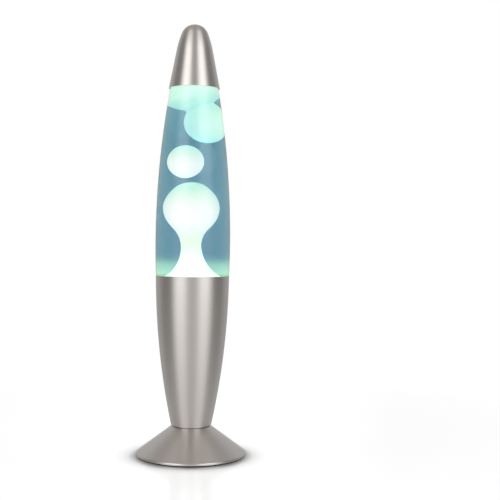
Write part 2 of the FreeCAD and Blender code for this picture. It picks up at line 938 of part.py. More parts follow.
def bottle_bore(gap, low_end, high_end):
    """The corners of the bottle's inside, gap smaller all round, from the spigot up to high_end."""
    spigot = S.spigot_radius - S.bottle_glass - gap
    shoulder = S.bottle_shoulder_radius - S.bottle_glass - gap
    side_curve = S.bottle_side_curve - S.bottle_glass - gap
    shoulder_curve = S.bottle_shoulder_curve - S.bottle_glass - gap
    return [
        (spigot - S.spigot_inner_taper, low_end),
        (spigot, S.spigot_inner_end),
        (S.bottle_seat_radius - S.bottle_glass - gap, S.bottle_inner_seat),
        (shoulder, S.bottle_inner_shoulder_height, LEFT, side_curve),
        (S.bottle_inner_collar_radius, S.bottle_inner_collar_height - gap, LEFT, shoulder_curve),
        (
            S.bottle_bore_radius - gap,
            S.bottle_inner_neck_height,
            RIGHT,
            S.bottle_inner_neck_curve + gap,
        ),
        (S.bottle_bore_radius - gap, high_end),
    ]


def make_bottle():
    """Sealed glass bottle: a spigot that drops into the tube, a ledge that rests on its rim, a
    barrel-shaped side, a shoulder and a narrow neck with a lip."""
    low = S.bottle_low_end
    base_top = low + S.bottle_base_curve
    glass = S.bottle_glass
    lip_round = S.bottle_top_height - S.bottle_lip_end
    outside = [
        (0.0, low + S.bottle_punt_depth),
        (S.bottle_punt_radius, low, RIGHT),
        (S.bottle_base_radius, low),
        (S.bottle_base_radius + S.bottle_base_curve, base_top, LEFT, S.bottle_base_curve),
        (S.spigot_radius, S.tube_rim_height),
        (S.bottle_seat_radius, S.tube_rim_height),
        (S.bottle_shoulder_radius, S.bottle_shoulder_height, LEFT, S.bottle_side_curve),
        (S.bottle_collar_radius, S.bottle_collar_height, LEFT, S.bottle_shoulder_curve),
        (S.bottle_neck_radius, S.bottle_neck_height, RIGHT, S.bottle_collar_curve),
        (S.bottle_neck_radius, S.bottle_lip_start),
        (S.bottle_lip_radius, S.bottle_lip_start + S.bottle_mouth_round),
        (S.bottle_lip_radius, S.bottle_lip_end),
        (S.bottle_lip_radius - lip_round, S.bottle_top_height, LEFT, lip_round),
        (S.bottle_bore_radius, S.bottle_top_height),
    ]
    rising = bottle_bore(0.0, base_top, S.bottle_top_height)
    inside = reverse_path(rising)[1:-1]
    floor = [
        (S.bottle_base_radius + S.bottle_base_curve - glass, base_top),
        (S.bottle_base_radius, low + glass, RIGHT, S.bottle_base_curve - glass),
        (S.bottle_punt_radius, low + glass),
        (0.0, low + glass + S.bottle_punt_depth, LEFT),
    ]
    keep(turn("bottle", outside + inside + floor))


def make_crown_liner():
    """Sealing disc inside the crown."""
    disc = cylinder("crown_liner", S.crown_top_radius, S.crown_liner)
    keep(place(disc, z=S.bottle_top_height))


def make_crown_cap():
    """Pressed steel crown with a notched skirt, crimped over the bottle's lip."""
    low = S.bottle_top_height + S.crown_liner
    high = low + S.crown_sheet
    corner = S.crown_top_radius + S.crown_corner_curve
    corner_low = high - S.crown_corner_curve
    inner_curve = S.crown_corner_curve - S.crown_sheet
    body = turn(
        "crown_cap",
        [
            (0.0, high),
            (0.0, low),
            (S.crown_top_radius, low),
            (corner - S.crown_sheet, corner_low, RIGHT, inner_curve),
            (S.crown_skirt_radius - S.crown_sheet, S.crown_skirt_end),
            (S.crown_skirt_radius, S.crown_skirt_end),
            (corner, corner_low),
            (S.crown_top_radius, high, LEFT, S.crown_corner_curve),
        ],
    )
    sketch = new_sketch(body, "crown_notch", "XY_Plane")
    draw_circle(sketch, "notch", 0.0, S.crown_skirt_radius - S.crown_sheet, S.crown_notch_radius)
    notch = cut(body, "skirt_notch", sketch, S.crown_skirt_end + S.crown_notch_height, reverse=True)
    repeat_round(body, notch, sketch, S.crown_notch_count)
    keep(body)


def make_heat_coil():
    """Loose coil of wire on the bottle's floor, which warms and breaks up the wax."""
    low = S.bottle_low_end + S.bottle_glass + S.coil_wire_radius
    path = doc.addObject("Part::Helix", "coil_path")
    bind(path, "Radius", S.coil_radius)
    bind(path, "Pitch", S.coil_pitch)
    bind(path, "Height", S.coil_pitch * S.coil_turns)
    place(path, z=low)
    section = doc.addObject("Part::Circle", "coil_section")
    bind(section, "Radius", S.coil_wire_radius)
    place(section, x=S.coil_radius, z=low, axis=(1, 0, 0), angle=90.0)
    doc.recompute()
    coil = doc.addObject("Part::Sweep", "heat_coil")
    coil.Sections = [section]
    coil.Spine = (path, ["Edge" + str(index + 1) for index in range(len(path.Shape.Edges))])
    coil.Solid = True
    coil.Frenet = True
    doc.recompute()
    keep(coil)


# Filling


def make_wax_column():
    """Pool of wax on the bottle's floor, with the column and its round head that rise from it. The
    coil's room is left open."""
    low = S.bottle_low_end + S.bottle_glass + S.fill_gap
    wall = S.bottle_base_radius + S.bottle_base_curve - S.bottle_glass - S.fill_gap
    core_radius = S.coil_radius - S.coil_wire_radius - S.coil_room
    coil_top = low + S.coil_pitch * S.coil_turns + S.coil_wire_radius * 2 + S.coil_room
    keep(
        turn(
            "wax_column",
            [
                (0.0, low + S.bottle_punt_depth),
                (S.bottle_punt_radius, low, RIGHT),
                (core_radius, low),
                (core_radius, coil_top),
                (wall, coil_top),
                (S.spigot_radius - S.bottle_glass - S.fill_gap * 2, S.pool_edge_height),
                (S.flare_radius, S.flare_height, RIGHT, S.pool_curve),
                (S.waist_low_radius, S.waist_low_height, RIGHT, S.flare_curve),
                (S.waist_high_radius, S.waist_high_height, RIGHT, S.waist_curve),
                (S.head_radius, S.head_height, LEFT, S.head_low_curve),
                (0.0, S.head_top, LEFT),
            ],
        )
    )


def make_wax_blob():
    """Free blob of wax between the column and the wax at the top."""
    blob = ellipsoid("wax_blob", S.blob_radius, S.blob_half_height)
    keep(place(blob, x=0.0 - S.blob_offset, z=S.blob_height))


def make_gathered_wax_and_liquid():
    """Wax at the top of the bottle with a blob that is joining it, and the liquid round all the wax.
    The liquid leaves the free blob room to rise and sink."""
    corners = bottle_bore(S.fill_gap, S.fill_start, S.fill_end)
    space = turn("filling_space", [(0.0, S.fill_start), *corners, (0.0, S.fill_end)])
    gathered = ellipsoid("gathered_mass", S.gather_radius, S.gather_half_height)
    place(gathered, x=0.0 - S.gather_offset, z=S.gather_height)
    joining = ellipsoid("joining_blob", S.joining_radius, S.joining_half_height)
    place(joining, x=S.joining_offset, y=0.0 - S.joining_forward, z=S.joining_height)
    wax = combine("Part::MultiFuse", "gathered_blank", gathered, joining)
    keep(combine("Part::Common", "wax_gathered", space, wax))

    travel = S.blob_travel_up + S.blob_travel_down
    room_half_height = S.blob_half_height + travel / 2 + S.blob_room
    room = ellipsoid("blob_room", S.blob_radius + S.blob_room, room_half_height)
    middle = S.blob_height + (S.blob_travel_up - S.blob_travel_down) / 2
    place(room, x=0.0 - S.blob_offset, z=middle)
    taken = combine("Part::MultiFuse", "wax_and_room", doc.getObject("wax_column"), wax, room)
    keep(combine("Part::Cut", "liquid", space, taken))


# Nose cap


def make_nose_cap():
    """Spun cone with a rounded nose, which drops over the bottle's shoulder."""
    wall = S.cap_wall
    keep(
        turn(
            "nose_cap",
            [
                (S.cap_rim_radius, S.cap_rim_height),
                (S.cap_cone_radius, S.cap_cone_height),
                (S.cap_nose_radius, S.cap_nose_height, LEFT, S.cap_taper_curve),
                (0.0, S.lamp_height, LEFT),
                (0.0, S.lamp_height - wall),
                (S.cap_nose_radius - wall, S.cap_nose_height - wall / 4, RIGHT),
                (S.cap_cone_radius - wall, S.cap_cone_height, RIGHT, S.cap_taper_curve - wall),
                (S.cap_rim_radius - wall, S.cap_rim_height),
            ],
        )
    )


def check_everything():
    """Stops if any object failed, or if any sub-part isn't made of sound solids."""
    for item in doc.Objects:
        if "Invalid" in item.State or "Error" in item.State:
            raise ValueError(item.Label + " failed: " + str(item.State))
    for item in kept:
        shape = item.Shape
        if shape.isNull() or not shape.isValid() or not shape.Solids:
            raise ValueError(item.Label + " is not a sound solid")


def write_parts():
    os.makedirs("parts", exist_ok=True)
    for item in kept:
        item.Shape.exportStep("parts/" + item.Label + ".step")
        print(item.Label, len(item.Shape.Solids), "solids", round(item.Shape.Volume, 1), "mm3")


def main():
    make_foot()
    make_base_plate()
    make_rubber_feet()
    make_cord_bush()
    make_holder_tube()
    make_nipple()
    make_nut()
    make_lock_washer()
    make_lampholder_base()
    make_grub_screw()
    make_lampholder_core()
    make_terminal_screws()
    make_lampholder_sleeve()
    make_lampholder_thread()
    make_lampholder_contact()
    make_bulb_tip()
    make_bulb_insulator()
    make_bulb_screw_cap()
    make_bulb_glass()
    make_bulb_stem()
    make_bulb_wires()
    make_bottle()
    make_crown_liner()
    make_crown_cap()
    make_heat_coil()
    make_wax_column()
    make_wax_blob()
    make_gathered_wax_and_liquid()
    make_nose_cap()
    doc.recompute()
    check_everything()
    write_parts()


main()
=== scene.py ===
"""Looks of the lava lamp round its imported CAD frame. Lengths are in metres; values named in millimetres are
multiplied by MM. The lamp's axis is the Z axis, and -Y is the front.
"""

import json
import math

import bmesh
import bpy
from mathutils import Matrix, Vector, noise


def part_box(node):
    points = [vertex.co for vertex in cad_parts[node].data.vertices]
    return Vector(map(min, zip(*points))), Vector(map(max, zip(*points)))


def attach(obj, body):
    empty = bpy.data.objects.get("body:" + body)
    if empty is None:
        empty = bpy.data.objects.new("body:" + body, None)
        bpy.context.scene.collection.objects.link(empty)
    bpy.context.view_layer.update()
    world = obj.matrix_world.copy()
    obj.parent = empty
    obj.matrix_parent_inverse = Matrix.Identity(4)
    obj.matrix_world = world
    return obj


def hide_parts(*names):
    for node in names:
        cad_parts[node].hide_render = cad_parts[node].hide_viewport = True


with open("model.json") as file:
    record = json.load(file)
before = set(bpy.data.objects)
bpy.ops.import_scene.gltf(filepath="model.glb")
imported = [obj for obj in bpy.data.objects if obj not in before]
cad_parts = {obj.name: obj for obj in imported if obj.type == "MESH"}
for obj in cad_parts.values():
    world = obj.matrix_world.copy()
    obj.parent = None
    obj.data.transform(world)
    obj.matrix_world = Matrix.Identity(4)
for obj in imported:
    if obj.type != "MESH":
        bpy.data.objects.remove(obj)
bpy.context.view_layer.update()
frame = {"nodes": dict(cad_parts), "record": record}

MM = 0.001
NODES = frame["nodes"]
LEFT, RIGHT = "left", "right"

# Sizes that the frame gives


def lowest(node):
    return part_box(node)[0].z / MM


def highest(node):
    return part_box(node)[1].z / MM


RIM = highest("holder_tube")
BOTTLE_LOW = lowest("bottle")
BOTTLE_TOP = highest("bottle")

# Wall thicknesses and shape constants in millimetres, as on the CAD parts
GLASS = 2.2
SIDE_CURVE = 830.0
SEAT_RADIUS = 34.2
SHOULDER_RADIUS = 21.9
SHOULDER_HEIGHT = 344.0
SPIGOT_RADIUS = 32.4
BASE_RADIUS = 22.0
BASE_CURVE = 8.5
PUNT_RADIUS = 17.0
PUNT_DEPTH = 2.5
SHOULDER_CURVE = 9.0
COLLAR_RADIUS = 15.78
COLLAR_HEIGHT = 351.0
COLLAR_CURVE = 5.0
MOUTH_RADIUS = 12.3
MOUTH_START = 355.8
LIP_RADIUS = 13.2
LIP_START = 363.5
LIP_END = 368.0
BORE_RADIUS = 8.6
INNER_COLLAR_RADIUS = 12.04
INNER_COLLAR_HEIGHT = 349.15
INNER_NECK_HEIGHT = 352.1
INNER_NECK_CURVE = 3.0

# The wax column, whose neck and head lean to the left
NECK_RADIUS = 7.0
NECK_HEIGHT = 194.5
HEAD_RADIUS = 19.5
HEAD_HEIGHT = 230.5
HEAD_TOP = 252.8
LEAN = -1.35
FLARE_RADIUS = 17.2
FLARE_CURVE = 34.0
NECK_LOW_CURVE = 39.7
NECK_HIGH_CURVE = 26.5
HEAD_START_RADIUS = 12.3
HEAD_START_HEIGHT = 210.4
HEAD_LOW_CURVE = 30.3
HEAD_HIGH_CURVE = 28.0
CROWN_RADIUS = 12.2
CROWN_HEIGHT = 246.8

# The free drop of wax, against the box of its CAD node
DROP_SHIFT = (-0.3, 0.0, -1.0)
DROP_SHARE = 0.965

# The two balls of the wax at the top, each its centre, radius and half height, and where its top is cut flat
TOP_MASS = ((-4.3, 0.0, 347.6), 24.8, 29.4)
JOINING_BLOB = ((9.4, -2.5, 307.4), 16.7, 18.9)
TOP_WAX_END = 345.0

# The side of a cell where wax is remeshed
WAX_CELL = 0.9

# How far below its top the bulb's frosted front begins
BULB_FRONT_DEPTH = 8.0

# How far the liquid's painted glow reaches above and below the rim
GLOW_HEIGHT = 21.0

# Between these heights the liquid grows darker, a painted shade away from the bulb below
SHADE_START = 240.0
SHADE_END = 300.0

# The wax's emission strength for its painted glow, by which the colours of that glow are divided
WAX_GLOW = 2.7


# Mesh making


def arc_points(start, end, side, radius=None):
    """Points on the short arc from start to end, whose centre is on that side of the way. With no radius the
    centre is on the lamp's axis."""
    run, rise = end[0] - start[0], end[1] - start[1]
    if radius is None:
        height = (end[0] ** 2 + end[1] ** 2 - start[0] ** 2 - start[1] ** 2) / (2 * rise)
        centre = (0.0, height)
    else:
        chord = math.hypot(run, rise)
        way = math.sqrt(max(radius**2 - chord**2 / 4, 0.0)) / chord
        way = way if side == LEFT else -way
        centre = ((start[0] + end[0]) / 2 - rise * way, (start[1] + end[1]) / 2 + run * way)
    first = math.atan2(start[1] - centre[1], start[0] - centre[0])
    last = math.atan2(end[1] - centre[1], end[0] - centre[0])
    sweep = (last - first) % (2 * math.pi)
    if side == RIGHT:
        sweep -= 2 * math.pi
    size = math.hypot(start[0] - centre[0], start[1] - centre[1])
    steps = max(2, math.ceil(abs(sweep) / math.radians(5)), math.ceil(abs(sweep) * size / 1.6))
    angles = [first + sweep * step / steps for step in range(1, steps)]
    return [(centre[0] + size * math.cos(a), centre[1] + size * math.sin(a)) for a in angles] + [end]


def trace(outline):
    """Points (radius, height) along a closed outline. Its items are (x, y), (x, y, side) or
    (x, y, side, radius), with side and radius as in arc_points."""
    points = []
    for index, item in enumerate(outline):
        start, end = outline[index - 1][:2], item[:2]
        points += arc_points(start, end, *item[2:]) if len(item) > 2 else [end]
    return points


def mesh_from(name, work):
    """A mesh with the shape that was worked on, which is then freed."""
    mesh = bpy.data.meshes.new(name)
    work.to_mesh(mesh)
    work.free()
    return mesh


def new_piece(name, mesh, material):
    """An object for a mesh, in the scene, with its material."""
    piece = bpy.data.objects.new(name, mesh)
    bpy.context.scene.collection.objects.link(piece)
    piece.data.materials.append(material)
    return piece


def smooth(mesh, sharp_degrees=40.0):
    """Smooth shading, but for the edges where faces meet at a sharp angle."""
    work = bmesh.new()
    work.from_mesh(mesh)
    bmesh.ops.recalc_face_normals(work, faces=work.faces)
    for face in work.faces:
        face.smooth = True
    for edge in work.edges:
        if len(edge.link_faces) == 2:
            edge.smooth = edge.calc_face_angle() < math.radians(sharp_degrees)
    work.to_mesh(mesh)
    work.free()


def lathe(name, outline, material, segments=192):
    """A closed body turned about the lamp's axis from half of its section, in millimetres."""
    points = trace(outline)
    rings, vertices, faces = [], [], []
    for radius, height in points:
        ring = []
        count = 1 if radius < 1e-6 else segments
        for step in range(count):
            angle = 2 * math.pi * step / segments
            ring.append(len(vertices))
            vertices.append((radius * math.cos(angle) * MM, radius * math.sin(angle) * MM, height * MM))
        rings.append(ring)
    for index, ring in enumerate(rings):
        before = rings[index - 1]
        if len(ring) == 1 and len(before) == 1:
            continue
        for step in range(segments):
            following = (step + 1) % segments
            corners = [
                before[step % len(before)],
                before[following % len(before)],
                ring[following % len(ring)],
                ring[step % len(ring)],
            ]
            faces.append(list(dict.fromkeys(corners)))
    mesh = bpy.data.meshes.new(name)
    mesh.from_pydata(vertices, [], faces)
    smooth(mesh)
    return new_piece(name, mesh, material)


def modify(piece, kind, **settings):
    """Adds a modifier, sets it up and applies it."""
    modifier = piece.modifiers.new(kind, kind)
    for key, value in settings.items():
        setattr(modifier, key, value)
    bpy.context.view_layer.update()
    shape = piece.evaluated_get(bpy.context.evaluated_depsgraph_get())
    mesh = bpy.data.meshes.new_from_object(shape)
    old = piece.data
    piece.modifiers.clear()
    piece.data = mesh
    bpy.data.meshes.remove(old)


def join(name, pieces):
    """One mesh from several, which are then gone."""
    work = bmesh.new()
    for piece in pieces:
        work.from_mesh(piece.data)
    mesh = mesh_from(name, work)
    material = pieces[0].data.materials[0]
    for piece in pieces:
        bpy.data.objects.remove(piece)
    return new_piece(name, mesh, material)


# Material making


class Nodes:
    """A material's node tree with short ways to add nodes and wire them."""

    def __init__(self, name):
        self.material = bpy.data.materials.new(name)
        self.material.use_nodes = True
        self.tree = self.material.node_tree
        self.shader = self.tree.nodes["Principled BSDF"]
        self.place = self.tree.nodes.new("ShaderNodeTexCoord").outputs["Object"]

    def set(self, **values):
        """Sets the shader's own sockets; an underscore stands for a space."""
        for key, value in values.items():
            self.shader.inputs[key.replace("_", " ")].default_value = value

    def add(self, kind, inputs=(), **settings):
        """A node with its settings and inputs, which are numbers, colours or other nodes' outputs."""
        node = self.tree.nodes.new("ShaderNode" + kind)
        for key, value in settings.items():
            setattr(node, key, value)
        for key, value in dict(inputs).items():
            if isinstance(value, bpy.types.NodeSocket):
                self.tree.links.new(value, node.inputs[key])
            else:
                node.inputs[key].default_value = value
        return node

    def wire(self, output, socket):
        self.tree.links.new(output, self.shader.inputs[socket])

    def finish(self, output, socket):
        """Wires an output to the material's surface or volume."""
        self.tree.links.new(output, self.tree.nodes["Material Output"].inputs[socket])

    def height(self):
        """The height above the surface, in metres."""
        return self.add("SeparateXYZ", {0: self.place}).outputs["Z"]

    def stretched(self, x, y, z):
        """The place, scaled along each axis."""
        return self.add("VectorMath", {0: self.place, 1: (x, y, z)}, operation="MULTIPLY").outputs[0]

    def clouds(self, scale, detail, where=None):
        """Noise from 0 to 1."""
        settings = {"Vector": where or self.place, "Scale": scale, "Detail": detail}
        return self.add("TexNoise", settings).outputs["Fac"]

    def ramp(self, value, *stops):
        """Colours by value, each stop a (value, colour)."""
        node = self.add("ValToRGB", {0: value})
        ramp = node.color_ramp
        while len(ramp.elements) < len(stops):
            ramp.elements.new(0.5)
        for element, (position, colour) in zip(ramp.elements, stops):
            element.position = position
            element.color = (*colour, 1.0)
        return node.outputs[0]

    def spread(self, value, low, high, from_low=0.0, from_high=1.0):
        """The value, moved from one range to another."""
        settings = {"Value": value, "From Min": from_low, "From Max": from_high}
        settings.update({"To Min": low, "To Max": high})
        return self.add("MapRange", settings).outputs["Result"]

    def mix(self, share, first, second):
        """Two colours, by the share of the second."""
        settings = {"Factor": share, "A": first, "B": second}
        node = self.add("Mix", data_type="RGBA")
        for socket in node.inputs:
            if socket.enabled and socket.name in settings:
                value = settings[socket.name]
                if isinstance(value, bpy.types.NodeSocket):
                    self.tree.links.new(value, socket)
                else:
                    socket.default_value = value
        return next(socket for socket in node.outputs if socket.enabled)

    def bump(self, value, depth):
        """Relief of that depth in metres, on the shader."""
        node = self.add("Bump", {"Height": value, "Distance": depth, "Strength": 1.0})
        self.wire(node.outputs[0], "Normal")


def turned_metal(name, colour, roughness):
    """Spun or turned metal: fine rings about the axis, cloudy handling marks and a stretched sheen."""
    nodes = Nodes(name)
    rings = nodes.clouds(7000.0, 3.0, nodes.stretched(0.004, 0.004, 1.0))
    hands = nodes.clouds(26.0, 4.0)
    dark = tuple(part * 0.95 for part in colour)
    nodes.wire(nodes.ramp(rings, (0.30, dark), (0.70, colour)), "Base Color")
    nodes.wire(nodes.spread(hands, roughness * 0.92, roughness * 1.12, 0.3, 0.7), "Roughness")
    nodes.wire(nodes.add("Tangent", direction_type="RADIAL", axis="Z").outputs[0], "Tangent")
    nodes.set(Metallic=1.0, Anisotropic=0.75, Anisotropic_Rotation=0.25)
    nodes.bump(rings, 0.0000012)
    return nodes.material


def plain_metal(name, colour, roughness):
    """Plated or drawn metal with fine scratches and dull patches."""
    nodes = Nodes(name)
    marks = nodes.clouds(900.0, 5.0, nodes.stretched(1.0, 1.0, 0.15))
    patches = nodes.clouds(140.0, 3.0)
    dull = tuple(part * 0.8 for part in colour)
    nodes.wire(nodes.ramp(patches, (0.35, dull), (0.65, colour)), "Base Color")
    nodes.wire(nodes.spread(marks, roughness * 0.7, roughness * 1.4, 0.3, 0.7), "Roughness")
    nodes.set(Metallic=1.0)
    nodes.bump(marks, 0.000008)
    return nodes.material


def moulded(name, colour, roughness, grain=900.0, depth=0.00002):
    """Moulded plastic or rubber with a fine grain and slightly paler worn patches."""
    nodes = Nodes(name)
    fine = nodes.clouds(grain, 3.0)
    patches = nodes.clouds(60.0, 4.0)
    worn = tuple(min(part * 1.35 + 0.004, 1.0) for part in colour)
    nodes.wire(nodes.ramp(patches, (0.40, colour), (0.75, worn)), "Base Color")
    nodes.wire(nodes.spread(fine, roughness * 0.85, roughness * 1.15, 0.3, 0.7), "Roughness")
    nodes.bump(fine, depth)
    return nodes.material


def clear_glass(name, tint, thick=False):
    """Clear glass with a faint cast, slow waves and a few finger marks. Thick glass is darker where it is
    seen along its wall."""
    nodes = Nodes(name)
    waves = nodes.clouds(34.0, 1.0, nodes.stretched(1.0, 1.0, 0.3))
    marks = nodes.clouds(90.0, 4.0)
    paler = tuple(min(part * 1.02, 1.0) for part in tint)
    nodes.wire(nodes.ramp(waves, (0.3, tint), (0.7, paler)), "Base Color")
    nodes.wire(nodes.spread(marks, 0.0, 0.03, 0.55, 0.85), "Roughness")
    nodes.set(Transmission_Weight=1.0, IOR=1.5)
    nodes.bump(waves, 0.00001)
    if thick:
        stain = nodes.add("VolumeAbsorption", {"Color": (0.07, 0.18, 0.02, 1.0), "Density": 62.0})
        nodes.finish(stain.outputs[0], "Volume")
    return nodes.material


def reflector_bulb():
    """A lit bulb: silvered up to the edge of its frosted front, which glows."""
    nodes = Nodes("bulb_glass_look")
    edge = highest("bulb_glass") - BULB_FRONT_DEPTH
    front = nodes.spread(nodes.height(), 0.0, 1.0, (edge - 1.0) * MM, (edge + 0.5) * MM)
    frost = nodes.clouds(1400.0, 3.0)
    nodes.wire(nodes.mix(front, (0.82, 0.80, 0.76, 1.0), (0.90, 0.88, 0.82, 1.0)), "Base Color")
    nodes.wire(nodes.spread(front, 1.0, 0.0), "Metallic")
    nodes.wire(nodes.spread(front, 0.16, 0.55), "Roughness")
    nodes.wire(nodes.mix(front, (0.0, 0.0, 0.0, 1.0), (1.0, 0.80, 0.56, 1.0)), "Emission Color")
    nodes.set(Emission_Strength=0.5)
    nodes.bump(frost, 0.00001)
    return nodes.material


def coloured_liquid():
    """Clear blue liquid with a painted mint glow just above the holder's rim, standing in for the bulb's
    light, and painted shade towards the top.
    """
    nodes = Nodes("blue_liquid_look")
    swirl = nodes.clouds(9.0, 1.0)
    cast = nodes.ramp(swirl, (0.3, (0.93, 0.97, 1.0)), (0.7, (1.0, 1.0, 0.98)))
    # Painted shade: the liquid's colour darkens with height, away from the bulb's light
    shade = nodes.spread(nodes.height(), 0.0, 1.0, SHADE_START * MM, SHADE_END * MM)
    nodes.wire(nodes.mix(shade, cast, (0.72, 0.84, 0.87, 1.0)), "Base Color")
    nodes.set(Transmission_Weight=1.0, IOR=1.36, Roughness=0.0)
    # Painted glow: emission that stands in for the bulb's light, mint at the rim and fading above and below it
    level = nodes.spread(nodes.height(), 0.0, 1.0, (RIM - GLOW_HEIGHT) * MM, (RIM + GLOW_HEIGHT) * MM)
    none = (0.0, 0.0, 0.0)
    mint = (0.42, 0.56, 0.29)
    fading = (0.22, 0.34, 0.15)
    faint = (0.04, 0.06, 0.02)
    glow = nodes.ramp(level, (0.25, none), (0.5, mint), (0.75, fading), (0.89, faint), (1.0, none))
    nodes.wire(glow, "Emission Color")
    nodes.set(Emission_Strength=0.85)
    stain = nodes.add("VolumeAbsorption", {"Color": (0.0, 0.488, 0.684, 1.0), "Density": 31.6})
    nodes.finish(stain.outputs[0], "Volume")
    return nodes.material


def glowing_wax(name, *levels):
    """Soft wax with slow mottling, whose light from the bulb below is painted as a glow by height. Each level
    is a height in millimetres and the painted glow there, from the lowest up."""
    nodes = Nodes(name)
    low, high = levels[0][0], levels[-1][0]
    level = nodes.spread(nodes.height(), 0.0, 1.0, low * MM, high * MM)
    mottle = nodes.clouds(55.0, 2.0)
    both = nodes.add("Math", {0: level, 1: nodes.spread(mottle, -0.03, 0.03)}, operation="ADD").outputs[0]
    stops = []
    for height, glow in levels:
        stops.append(((height - low) / (high - low), tuple(part / WAX_GLOW for part in glow)))
    # Painted glow: emission colour by height stands in for the bulb lighting the wax from below
    nodes.wire(nodes.ramp(both, *stops), "Emission Color")
    nodes.wire(nodes.ramp(mottle, (0.3, (0.22, 0.23, 0.22)), (0.7, (0.28, 0.28, 0.27))), "Base Color")
    nodes.set(Emission_Strength=WAX_GLOW, Roughness=0.35)
    nodes.bump(mottle, 0.00012)
    return nodes.material


# Pieces


def bottle_inside(gap):
    """The inside of the bottle, from the punt's middle round to the neck, gap smaller all round."""
    base_top = BOTTLE_LOW + BASE_CURVE
    wall = GLASS + gap
    return [
        (0.0, BOTTLE_LOW + PUNT_DEPTH + wall),
        (PUNT_RADIUS, BOTTLE_LOW + wall, RIGHT),
        (BASE_RADIUS, BOTTLE_LOW + wall),
        (BASE_RADIUS + BASE_CURVE - wall, base_top, LEFT, (BASE_CURVE - wall) * 1.001),
        (SPIGOT_RADIUS - wall, RIM - 3.0),
        (SEAT_RADIUS - wall, RIM + 3.0),
        (SHOULDER_RADIUS - wall, SHOULDER_HEIGHT - 0.4, LEFT, SIDE_CURVE - wall),
        (INNER_COLLAR_RADIUS, INNER_COLLAR_HEIGHT - gap, LEFT, SHOULDER_CURVE - wall),
        (BORE_RADIUS - gap, INNER_NECK_HEIGHT, RIGHT, INNER_NECK_CURVE + gap),
    ]


def make_bottle(material):
    """The bottle, from the punt's middle up its outside, over the lip and back down its inside."""
    base_top = BOTTLE_LOW + BASE_CURVE
    outside = [
        (0.0, BOTTLE_LOW + PUNT_DEPTH),
        (PUNT_RADIUS, BOTTLE_LOW, RIGHT),
        (BASE_RADIUS, BOTTLE_LOW),
        (BASE_RADIUS + BASE_CURVE, base_top, LEFT, BASE_CURVE * 1.001),
        (SPIGOT_RADIUS, RIM - 0.5),
        (SPIGOT_RADIUS + 0.5, RIM, RIGHT, 0.51),
        (SEAT_RADIUS - 0.35, RIM),
        (SEAT_RADIUS, RIM + 0.4, LEFT, 0.4),
        (SHOULDER_RADIUS, SHOULDER_HEIGHT, LEFT, SIDE_CURVE),
        (COLLAR_RADIUS, COLLAR_HEIGHT, LEFT, SHOULDER_CURVE),
        (MOUTH_RADIUS, MOUTH_START, RIGHT, COLLAR_CURVE),
        (MOUTH_RADIUS, LIP_START - 1.0),
        (LIP_RADIUS, LIP_START),
        (LIP_RADIUS, LIP_END),
        (LIP_RADIUS - 2.0, BOTTLE_TOP, LEFT, 2.01),
        (BORE_RADIUS + 1.0, BOTTLE_TOP),
        (BORE_RADIUS, BOTTLE_TOP - 1.0, LEFT, 1.01),
    ]
    inside = bottle_inside(0.0)
    back = [inside[-1][:2]]
    swapped = {LEFT: RIGHT, RIGHT: LEFT}
    for index in range(len(inside) - 1, 0, -1):
        arc = inside[index][2:]
        back.append(inside[index - 1][:2] + ((swapped[arc[0]], *arc[1:]) if arc else ()))
    return lathe("glass_bottle", outside + back, material, 256)


def make_liquid(material):
    """The whole filling, which reaches a little into the glass, so that no air is between them."""
    inside = bottle_inside(-0.12)
    fill_end = highest("liquid")
    return lathe("blue_filling", inside + [(inside[-1][0], fill_end), (0.0, fill_end)], material, 256)


def side_radius(height):
    """The outer radius of the bottle's barrel-shaped side at a height, in millimetres."""
    run, rise = SHOULDER_RADIUS - SEAT_RADIUS, SHOULDER_HEIGHT - RIM
    chord = math.hypot(run, rise)
    way = math.sqrt(SIDE_CURVE**2 - chord**2 / 4) / chord
    centre = (SEAT_RADIUS + run / 2 - rise * way, RIM + rise / 2 + run * way)
    return centre[0] + math.sqrt(SIDE_CURVE**2 - (height - centre[1]) ** 2)


def wall_radius(height):
    """The bottle's inner radius at a height, less a film of liquid, in millimetres."""
    film = 0.25
    if height > RIM:
        return side_radius(height) - GLASS - film
    slope = (SPIGOT_RADIUS - BASE_RADIUS - BASE_CURVE) / (RIM - BOTTLE_LOW - BASE_CURVE)
    return SPIGOT_RADIUS - GLASS - film - slope * max(RIM - height, 0.0)


def keep_inside(piece):
    """Moves vertices in from the bottle's wall."""
    for vertex in piece.data.vertices:
        limit = wall_radius(vertex.co.z / MM) * MM
        distance = math.hypot(vertex.co.x, vertex.co.y)
        if distance > limit:
            vertex.co.x *= limit / distance
            vertex.co.y *= limit / distance


def unsettle(piece, size, depth):
    """Slow unevenness, as in molten wax, the same in every run."""
    noise.seed_set(1)
    for vertex in piece.data.vertices:
        vertex.co += noise.noise_vector(vertex.co / size) * depth


